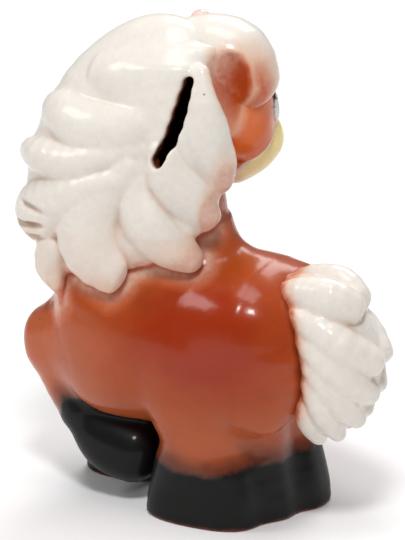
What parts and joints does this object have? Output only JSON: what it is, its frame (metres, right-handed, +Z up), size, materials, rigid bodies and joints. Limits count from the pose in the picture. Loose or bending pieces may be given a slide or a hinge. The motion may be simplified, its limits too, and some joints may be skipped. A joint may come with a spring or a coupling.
{
  "type": "coin bank",
  "caption": "Pony-shaped coin bank of luted red-clay castings, hollow inside, with a coin slot in the mane and a push-in rubber stopper under the belly",
  "frame": {"origin": "centre of the bounding box's base, on the surface the pony stands on", "axes": "+X is the way the chest points, +Y is the pony's own left, +Z is up"},
  "size_m": [0.1822, 0.0967, 0.2289],
  "materials": {
    "brown_clay": "varnished red clay, brown paint, black hooves",
    "white_clay": "varnished red clay, off-white paint",
    "black_rubber": "matt"
  },
  "bodies": {
    "bank": {"trunk_left": "brown_clay", "trunk_right": "brown_clay", "mane_left": "white_clay", "mane_right": "white_clay", "head": "brown_clay", "forelock": "white_clay", "ear_left": "brown_clay", "ear_right": "brown_clay", "tail": "white_clay", "foreleg_left": "brown_clay", "foreleg_right": "brown_clay", "hind_leg_left": "brown_clay", "hind_leg_right": "brown_clay"},
    "stopper": {"stopper": "black_rubber"}
  },
  "joints": [
    {"name": "stopper_slide", "type": "slide", "parent": "bank", "child": "stopper", "axis": [0, -0.4226, -0.9063], "range_m": [0, 0.024]}
  ]
}
